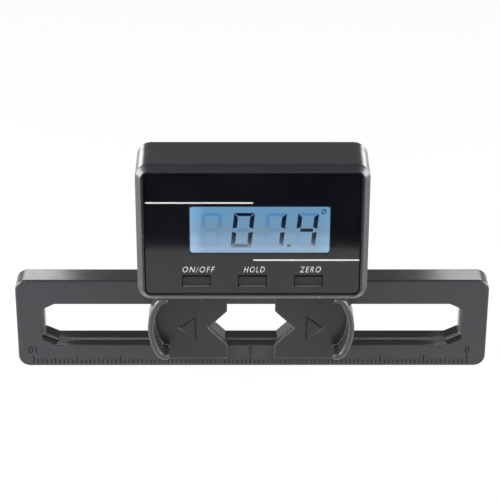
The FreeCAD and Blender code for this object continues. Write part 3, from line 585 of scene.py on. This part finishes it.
def make_prints():
    """The two pale lines and the names of the keys."""
    prints = []
    for left, right, below_top in ((-23.4, 0.08, 7.41), (0.14, 23.6, 21.55)):
        place = ((left + right) / 2 * MM, PRINT_FRONT, panel_high[2] - below_top * MM)
        size = ((right - left) * MM, INLAY_DEPTH, LINE_THICKNESS)
        prints.append(bevelled_slab("line", place, size, INLAY_SOFTNESS))
    for node, words, widen in zip(KEYS, ("ON/OFF", "HOLD", "ZERO"), (0.77, 0.69, 0.73)):
        low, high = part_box(node)
        place = ((low[0] + high[0]) / 2 + LABEL_SHIFT, PRINT_FRONT, high[2] + LABEL_RISE)
        prints.append(raised_text(
            "label", words, LABEL_SIZE, place,
            slant=LABEL_SLANT, spacing=LABEL_SPACING, widen=widen, thin=LABEL_THINNING,
        ))
    return join(prints, "panel_prints")


def make_ring(name, low, high, front, width, corner, depth):
    """A flat ring just inside a box's outline, with rounded inner corners, facing the front."""
    clear_selection()
    middle = ((low[0] + high[0]) / 2, front, (low[2] + high[2]) / 2)
    bpy.ops.mesh.primitive_plane_add(size=1, location=middle, rotation=(math.radians(90), 0, 0))
    ring = bpy.context.object
    ring.name = name
    ring.scale = (high[0] - low[0], high[2] - low[2], 1)
    settle(ring)
    bpy.ops.object.mode_set(mode="EDIT")
    bpy.ops.mesh.select_all(action="SELECT")
    bpy.ops.mesh.inset(thickness=width)
    bpy.ops.mesh.bevel(offset=corner, segments=5, affect="VERTICES")
    bpy.ops.mesh.select_all(action="DESELECT")
    bpy.ops.object.mode_set(mode="OBJECT")
    largest = max(ring.data.polygons, key=lambda face: face.area)
    largest.select = True
    bpy.ops.object.mode_set(mode="EDIT")
    bpy.ops.mesh.select_mode(type="FACE")
    bpy.ops.mesh.delete(type="FACE")
    bpy.ops.mesh.select_all(action="SELECT")
    bpy.ops.mesh.extrude_region_move(TRANSFORM_OT_translate={"value": (0, depth, 0)})
    bpy.ops.mesh.select_all(action="SELECT")
    bpy.ops.mesh.normals_make_consistent(inside=False)
    bpy.ops.object.mode_set(mode="OBJECT")
    return ring


panel_seam = make_ring("panel_seam", panel_low, panel_high, SEAM_FRONT, 0.3 * MM, 0.9 * MM, INLAY_DEPTH)
finish(panel_seam, MATERIALS["seam"], "gauge")

# The keys' half width and height, the gap round them, and the thickness of each painted shadow strip and of
# the painted highlight
KEY_HALF = (3.1 * MM, 1.4 * MM)
KEY_GAP = 0.07 * MM
KEY_TOP_SHADE = 0.66 * MM
KEY_SIDE_SHADE = 0.16 * MM
KEY_RIM = 0.14 * MM


def make_key_edges(node):
    """Painted shadow above and beside a key, as dark strips, and a painted highlight on the pale rounding
    below it, all fixed to the panel.
    """
    key_low, key_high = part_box(node)
    across, level = (key_low[0] + key_high[0]) / 2, (key_low[2] + key_high[2]) / 2
    half_wide, half_high = KEY_HALF[0] + KEY_GAP, KEY_HALF[1] + KEY_GAP
    front = key_low[1] - 0.04 * MM
    # painted shadow: dark strips above and beside the key, where the panel's edge would cast shade
    shadow_strips = [bevelled_slab(
        "key_painted_shadow", (across, front, level + half_high - KEY_TOP_SHADE / 2),
        (2 * half_wide, INLAY_DEPTH, KEY_TOP_SHADE), INLAY_SOFTNESS
    )]
    for way in (-1, 1):
        shadow_strips.append(bevelled_slab(
            "key_painted_shadow", (across + way * (half_wide - KEY_SIDE_SHADE / 2), front, level),
            (KEY_SIDE_SHADE, INLAY_DEPTH, 2 * half_high), INLAY_SOFTNESS
        ))
    # painted highlight: a pale slab along the lower edge of the key's opening
    rim = bevelled_slab(
        "key_rim", (across, (panel_low[1] + key_low[1]) / 2, level - half_high + KEY_RIM / 2),
        (2 * KEY_HALF[0] - 0.3 * MM, key_low[1] - panel_low[1] - 0.1 * MM, KEY_RIM), 0.04 * MM
    )
    return shadow_strips, rim


key_painted_shadows = []
key_rim_highlights = []
for key_node in KEYS:
    painted_shadow_edges, painted_highlight_edge = make_key_edges(key_node)
    key_painted_shadows += painted_shadow_edges
    key_rim_highlights.append(painted_highlight_edge)
# the strips round the keys are painted shadow, in the dark seam material
finish(join(key_painted_shadows, "key_painted_shadows"), MATERIALS["seam"], "gauge")
# the pale rims below the keys are painted highlights
finish(join(key_rim_highlights, "key_rim_highlights"), MATERIALS["rim"], "gauge")
finish(make_prints(), MATERIALS["print"], "gauge")


# Figures of the display

lcd_low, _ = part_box("lcd_glass")
FIGURE_FRONT = lcd_low[1] - 0.013 * MM
FIGURE_LEVEL = 38.48 * MM
FIGURE_HEIGHT = 8.5 * MM
FIGURE_WIDTH = 4.55 * MM
UPRIGHT_STROKE = 0.95 * MM
LEVEL_STROKE = 0.80 * MM
SEGMENT_GAP = 0.12 * MM
FIGURE_SLANT = 0.10
FIGURE_DEPTH = 0.016 * MM
FIGURE_SOFTNESS = 0.007 * MM
POINT_PLACE = 8.05 * MM
POINT_RISE = 0.42 * MM
POINT_SIZE = 0.8 * MM
RING_PLACE = (15.62 * MM, FIGURE_FRONT, 43.05 * MM)
RING_STROKE = (1.5 * MM, FIGURE_DEPTH, 0.14 * MM)
RING_STROKE_TURN = math.radians(-55)
CELLS = (-9.2 * MM, -2.17 * MM, 4.84 * MM, 11.88 * MM)
SEGMENTS = {"0": "abcdef", "1": "bc", "4": "bcfg", "8": "abcdefg"}


def make_segment(along, centre, length, stroke, outward, pointed_end):
    """One bar of a seven-segment figure: mitred like a picture frame, but pointed in the figure's middle."""
    clear_selection()
    bpy.ops.mesh.primitive_cube_add(size=1, location=(0, 0, 0))
    segment = bpy.context.object
    segment.scale = (length, FIGURE_DEPTH, stroke)
    settle(segment)
    for end in (-1, 1):
        for side in (-1, 1):
            cut = 0.0 if side == outward else stroke
            if outward == 0:
                cut = stroke / 2
            elif end == pointed_end:
                cut = stroke * (0.25 if side == outward else 0.6)
            bpy.ops.object.mode_set(mode="EDIT")
            bpy.ops.mesh.select_mode(type="VERT")
            bpy.ops.mesh.select_all(action="DESELECT")
            bpy.ops.object.mode_set(mode="OBJECT")
            for corner in segment.data.vertices:
                corner.select = corner.co.x * end > 0 and corner.co.z * side > 0
            bpy.ops.object.mode_set(mode="EDIT")
            bpy.ops.transform.translate(value=(-end * cut, 0, 0))
            bpy.ops.object.mode_set(mode="OBJECT")
    if along == "z":
        segment.rotation_euler = (0, math.radians(90) + math.atan(FIGURE_SLANT), 0)
    segment.location = centre
    settle(segment)
    return segment


def make_figure(names, across, front):
    """The named segments of a slanted seven-segment figure, with its centre at a place on the display."""
    half_wide = (FIGURE_WIDTH - UPRIGHT_STROKE) / 2
    half_high = (FIGURE_HEIGHT - LEVEL_STROKE) / 2
    quarter = FIGURE_HEIGHT / 4
    places = {
        "a": ("x", 0, half_high, 1, 0), "g": ("x", 0, 0, 0, 0), "d": ("x", 0, -half_high, -1, 0),
        "b": ("z", half_wide, quarter, 1, 1), "c": ("z", half_wide, -quarter, 1, -1),
        "f": ("z", -half_wide, quarter, -1, 1), "e": ("z", -half_wide, -quarter, -1, -1),
    }
    full_lengths = {"x": FIGURE_WIDTH, "z": FIGURE_HEIGHT / 2}
    strokes = {"x": LEVEL_STROKE, "z": UPRIGHT_STROKE}
    bars = []
    for name in names:
        along, side, rise, outward, pointed_end = places[name]
        length = FIGURE_WIDTH - UPRIGHT_STROKE if name == "g" else full_lengths[along] - 2 * SEGMENT_GAP
        centre = (across + side + FIGURE_SLANT * rise, front, FIGURE_LEVEL + rise)
        bars.append(make_segment(along, centre, length, strokes[along], outward, pointed_end))
    return bars


def make_reading():
    """The reading 01.4, with its point and the small ring with a stroke at the corner."""
    parts = []
    for figure, across in zip("014", CELLS[1:]):
        parts += make_figure(SEGMENTS[figure], across, FIGURE_FRONT)
    bottom = FIGURE_LEVEL - FIGURE_HEIGHT / 2
    point_centre = (POINT_PLACE, FIGURE_FRONT, bottom + POINT_RISE)
    point_size = (POINT_SIZE, FIGURE_DEPTH, POINT_SIZE)
    parts.append(bevelled_slab("point", point_centre, point_size, FIGURE_SOFTNESS))
    clear_selection()
    bpy.ops.mesh.primitive_torus_add(
        location=RING_PLACE, rotation=(math.radians(90), 0, 0),
        major_radius=0.5 * MM, minor_radius=0.08 * MM, major_segments=32, minor_segments=8,
    )
    ring = bpy.context.object
    ring.scale = (1.0, 1.15, 0.1)
    parts.append(ring)
    stroke = bevelled_slab("stroke", (0, 0, 0), RING_STROKE, FIGURE_SOFTNESS)
    stroke.rotation_euler = (0, RING_STROKE_TURN, 0)
    stroke.location = RING_PLACE
    parts.append(stroke)
    return join(parts, "display_figures")


def make_unlit():
    """The segments that are off, just visible."""
    parts = []
    for figure, across in zip(" 014", CELLS):
        missing = [name for name in SEGMENTS["8"] if name not in SEGMENTS.get(figure, "")]
        parts += make_figure(missing, across, FIGURE_FRONT)
    return join(parts, "display_unlit")


window_mask = make_ring(
    "window_mask", *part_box("window_lens"), SEAM_FRONT, 0.1 * MM, 0.6 * MM, INLAY_DEPTH
)
finish(window_mask, MATERIALS["seam"], "gauge")
finish(make_reading(), MATERIALS["figure"], "gauge")
finish(make_unlit(), MATERIALS["ghost"], "gauge")


# Stage, light and camera

FLOOR_FRONT = -0.072
FLOOR_REACH = 3.0
FLOOR_LEVEL = -0.0004
WHITE_SHARE = 0.94
WHITE_STRENGTH = 0.985
ROOM_FRONT_STRENGTH = 0.06
ROOM_BACK_STRENGTH = 0.20
ROOM_BELOW_SHARE = 0.12
GLOSSY_WHITE_SHARE = 0.11


def seen_share(tree, names, share):
    """A share for the rays of the named kinds, and 0 for the others."""
    ray = tree.nodes.new("ShaderNodeLightPath")
    total = ray.outputs[names[0]]
    for name in names[1:]:
        total = combine(tree, total, ray.outputs[name], "MAXIMUM")
    return combine(tree, total, share, "MULTIPLY")


def make_stage():
    """A pale floor that looks white and keeps the part's shadow. It ends a little in front of the part."""
    material, tree, shader = new_material("stage_white")
    shader.inputs["Base Color"].default_value = (0.82, 0.82, 0.82, 1)
    shader.inputs["Roughness"].default_value = 0.8
    depth = FLOOR_REACH - FLOOR_FRONT
    clear_selection()
    bpy.ops.mesh.primitive_plane_add(size=1.0, location=(0, FLOOR_FRONT + depth / 2, FLOOR_LEVEL))
    floor = bpy.context.object
    floor.name = "stage_floor"
    floor.scale = (2 * FLOOR_REACH, depth, 1)
    settle(floor)
    floor.data.materials.append(material)
    white = tree.nodes.new("ShaderNodeEmission")
    mix = tree.nodes.new("ShaderNodeMixShader")
    share = seen_share(tree, ("Is Camera Ray", "Is Glossy Ray", "Is Transmission Ray"), WHITE_SHARE)
    tree.links.new(share, mix.inputs["Fac"])
    tree.links.new(shader.outputs["BSDF"], mix.inputs[1])
    tree.links.new(white.outputs["Emission"], mix.inputs[2])
    tree.links.new(mix.outputs["Shader"], tree.nodes["Material Output"].inputs["Surface"])


def make_world():
    """White behind the part, and a dim room for its light: darker in front than at the back."""
    world = bpy.data.worlds.new("studio")
    bpy.context.scene.world = world
    world.use_nodes = True
    tree = world.node_tree
    room = tree.nodes["Background"]
    room.inputs["Color"].default_value = (1, 1, 1, 1)
    _, backward, upward = axes(tree, "Generated")
    toward_back = spread(tree, backward, 0.0, 1.0, -0.2, 0.5)
    above = spread(tree, upward, ROOM_BELOW_SHARE, 1.0, -0.02, 0.05)
    room_light = spread(tree, toward_back, ROOM_FRONT_STRENGTH, ROOM_BACK_STRENGTH, 0.0, 1.0)
    strength = combine(tree, room_light, above, "MULTIPLY")
    tree.links.new(strength, room.inputs["Strength"])
    white = tree.nodes.new("ShaderNodeBackground")
    white.inputs["Color"].default_value = (1, 1, 1, 1)
    white.inputs["Strength"].default_value = WHITE_STRENGTH
    mix = tree.nodes.new("ShaderNodeMixShader")
    through_lens = seen_share(tree, ("Is Transmission Ray",), 1.0)
    mirrored = seen_share(tree, ("Is Glossy Ray",), GLOSSY_WHITE_SHARE)
    passed = combine(tree, through_lens, mirrored, "MAXIMUM")
    behind = combine(tree, combine(tree, passed, toward_back, "MULTIPLY"), above, "MULTIPLY")
    tree.links.new(
        combine(tree, seen_share(tree, ("Is Camera Ray",), 1.0), behind, "MAXIMUM"), mix.inputs["Fac"]
    )
    tree.links.new(room.outputs["Background"], mix.inputs[1])
    tree.links.new(white.outputs["Background"], mix.inputs[2])
    tree.links.new(mix.outputs["Shader"], tree.nodes["World Output"].inputs["Surface"])


def add_softbox(name, place, target, width, height, glow):
    """A softbox of a given brightness, where 1 is a white surface in full light."""
    clear_selection()
    bpy.ops.object.light_add(type="AREA", location=place)
    lamp = bpy.context.object
    lamp.name = name
    lamp.data.shape = "RECTANGLE"
    lamp.data.size = width
    lamp.data.size_y = height
    lamp.data.energy = glow * math.pi * width * height
    lamp.rotation_euler = (Vector(target) - Vector(place)).to_track_quat("-Z", "Y").to_euler()
    lamp.visible_camera = False


def make_camera():
    bpy.ops.object.camera_add()
    camera = bpy.context.object
    camera.name = "photo_camera"
    camera.data.lens = FOCAL_PIXELS / PHOTO_PIXELS * SENSOR_WIDTH
    camera.data.sensor_width = SENSOR_WIDTH
    camera.data.clip_start = 0.01
    camera.matrix_world = (
        Matrix.Translation(CAMERA_PLACE) @ Matrix.Rotation(CAMERA_TURN, 4, "Z")
        @ Matrix.Rotation(CAMERA_TILT, 4, "X") @ Matrix.Rotation(CAMERA_ROLL, 4, "Z")
    )
    bpy.context.scene.camera = camera


# Name, place, what it faces, width, height and glow of each softbox
SOFTBOXES = [
    ("side_left", (-0.24, -0.03, 0.085), (-0.03, 0, 0.03), 0.20, 0.15, 16.0),
    ("side_right", (0.24, -0.03, 0.085), (0.03, 0, 0.03), 0.20, 0.15, 13.0),
    ("end_left", (-0.073, 0.060, 0.058), (-0.060, 0.003, 0.0225), 0.050, 0.022, 6.6),
    ("end_right", (0.073, 0.060, 0.058), (0.060, 0.003, 0.0225), 0.050, 0.022, 5.4),
    ("front_left", (-0.40, -0.40, 0.28), (0, 0, 0.03), 0.50, 0.50, 2.95),
    ("front_right", (0.40, -0.40, 0.28), (0, 0, 0.03), 0.50, 0.50, 1.8),
]

make_stage()
make_world()
for softbox in SOFTBOXES:
    add_softbox(*softbox)
make_camera()
bpy.context.scene.view_settings.view_transform = "Standard"
